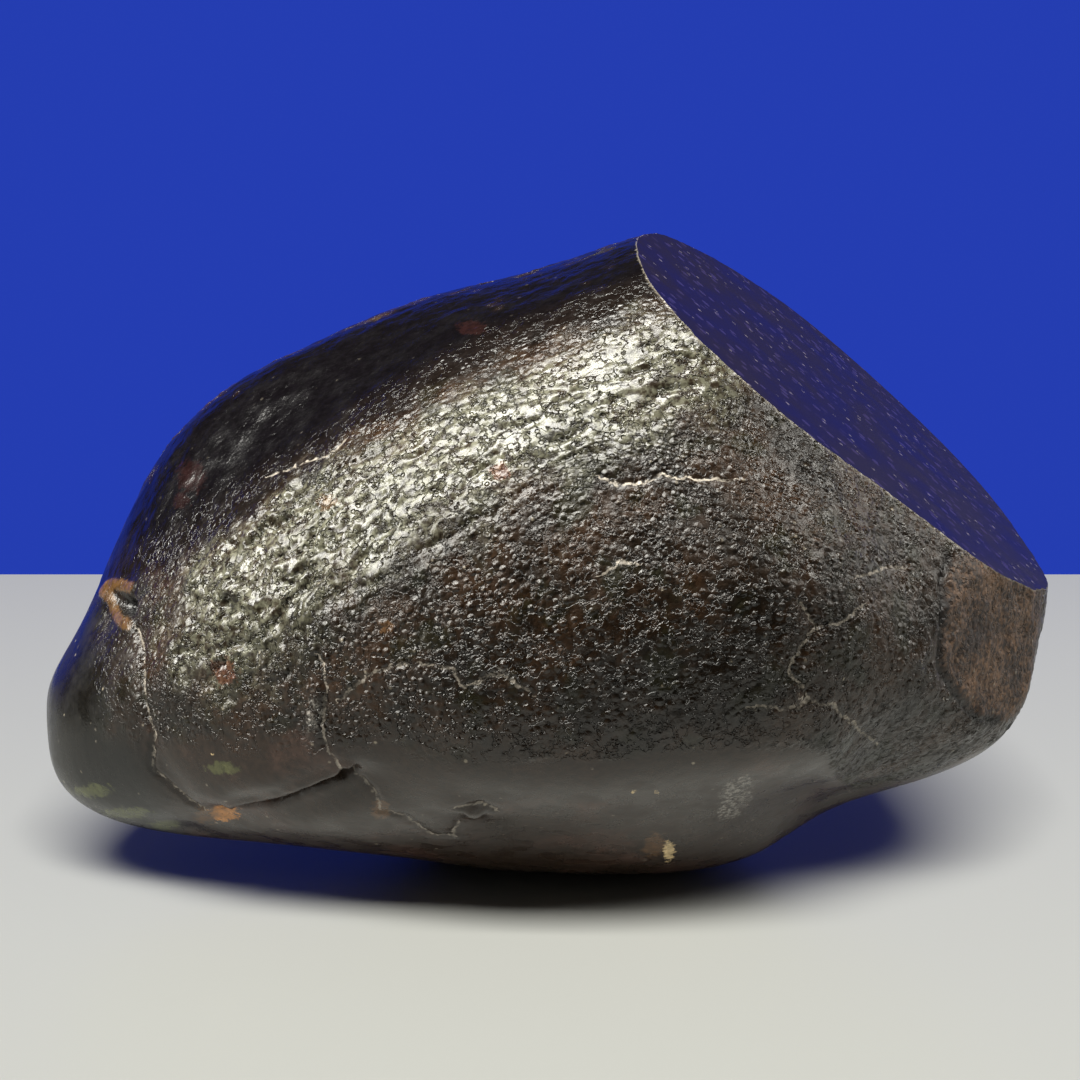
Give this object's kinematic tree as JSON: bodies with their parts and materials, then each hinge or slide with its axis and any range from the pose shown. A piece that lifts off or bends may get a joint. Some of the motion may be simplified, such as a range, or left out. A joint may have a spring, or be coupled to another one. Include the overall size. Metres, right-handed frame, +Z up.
{
  "type": "chondrite meteorite",
  "caption": "Palm-size dark chondrite meteorite with a rounded end lobe, a fusion crust and a sawn, polished face; it rests on a small flat spot.",
  "frame": {"origin": "on the surface it stands on, under the middle of the stone's box", "axes": "+X along the stone's long way, from the rounded lobe to the sawn end; +Y from front to back; +Z up"},
  "size_m": [0.0802, 0.0568, 0.0514],
  "materials": {
    "crust": "dark brown-black fusion crust with a dull metallic gloss; sawn face polished dark; broken facet matt brown"
  },
  "bodies": {
    "root": {"meteorite": "crust"}
  },
  "joints": []
}
